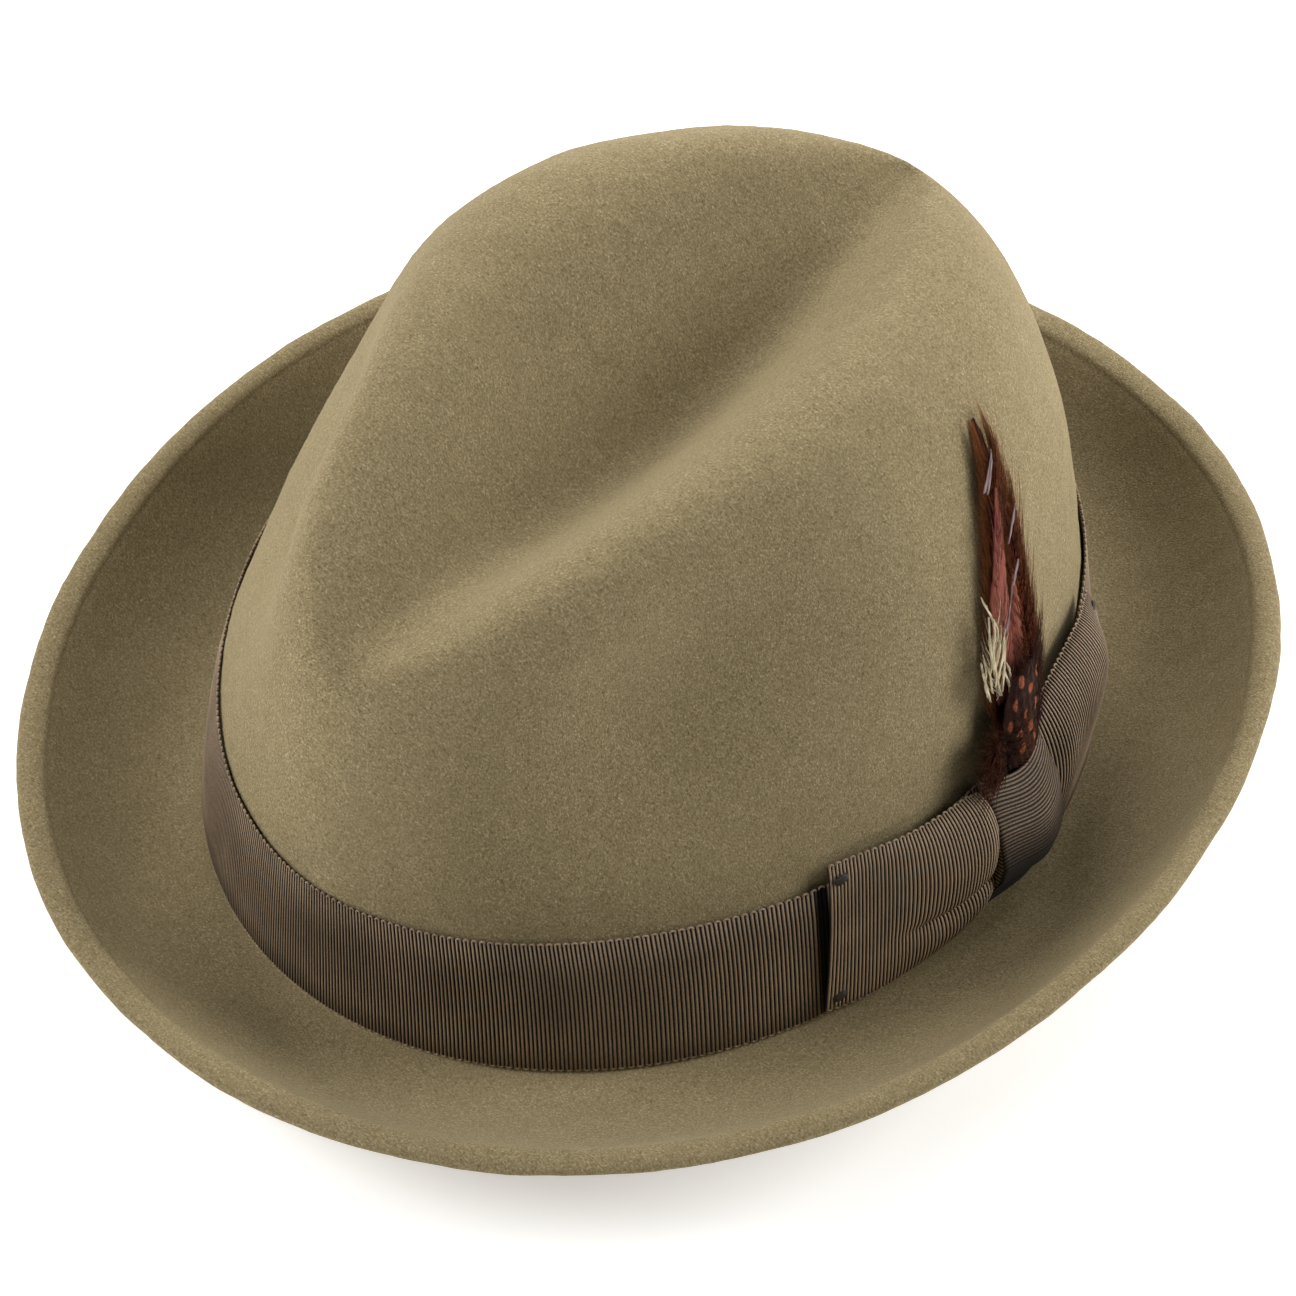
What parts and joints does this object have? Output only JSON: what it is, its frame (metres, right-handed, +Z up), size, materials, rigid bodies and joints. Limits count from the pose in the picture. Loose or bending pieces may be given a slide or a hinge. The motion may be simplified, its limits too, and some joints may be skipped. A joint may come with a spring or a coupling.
{
  "type": "fedora hat",
  "caption": "Felt fedora with a teardrop crown and upturned brim, a ribbon band with a side bow, a lift-out feather spray, a leather sweatband and a lining.",
  "frame": {"origin": "middle of the hat's bounding box, on the plane that the brim rests on", "axes": "+Z up; the wearer faces -Y; +X to the wearer's left, where the bow and the feathers are"},
  "size_m": [0.2425, 0.2773, 0.1128],
  "materials": {
    "felt": "brushed wool felt, olive brown",
    "ribbon": "ribbed grosgrain, dark brown",
    "thread": "sewing thread, near black",
    "leather": "smooth sweatband leather, brown",
    "reed": "matt welting cord",
    "satin": "satin lining, dark olive",
    "tab_cloth": "woven tab, blank",
    "quill": "bare feather shaft, pale",
    "feather_brown": "hackle barbs, red brown",
    "feather_maroon": "smooth feather vane, dusty maroon",
    "feather_cream": "loose barbs, cream",
    "feather_spotted": "dark vane with orange spots",
    "feather_dark": "downy fluff, near black"
  },
  "bodies": {
    "hat": {"felt_body": "felt", "hat_band": "ribbon", "bow_front_wing": "ribbon", "bow_rear_wing": "ribbon", "bow_knot": "ribbon", "tack_front_upper": "thread", "tack_front_lower": "thread", "tack_rear_upper": "thread", "tack_rear_lower": "thread", "sweatband": "leather", "sweatband_reed": "reed", "sweatband_seam_tape": "leather", "sweatband_bow": "ribbon", "size_tab": "tab_cloth", "lining_side": "satin", "lining_tip": "satin", "lining_piping": "satin"},
    "feather_spray": {"feather_stem": "quill", "feather_binding": "thread", "feather_hackle_long": "feather_brown", "feather_hackle_short": "feather_brown", "feather_maroon": "feather_maroon", "feather_cream": "feather_cream", "feather_guinea": "feather_spotted", "feather_fluff": "feather_dark", "feather_quill_lilac": "quill"}
  },
  "joints": [
    {"name": "feather_slide", "type": "slide", "parent": "hat", "child": "feather_spray", "axis": [-0.1215, -0.0237, 0.9923], "range_m": [0, 0.03]}
  ]
}
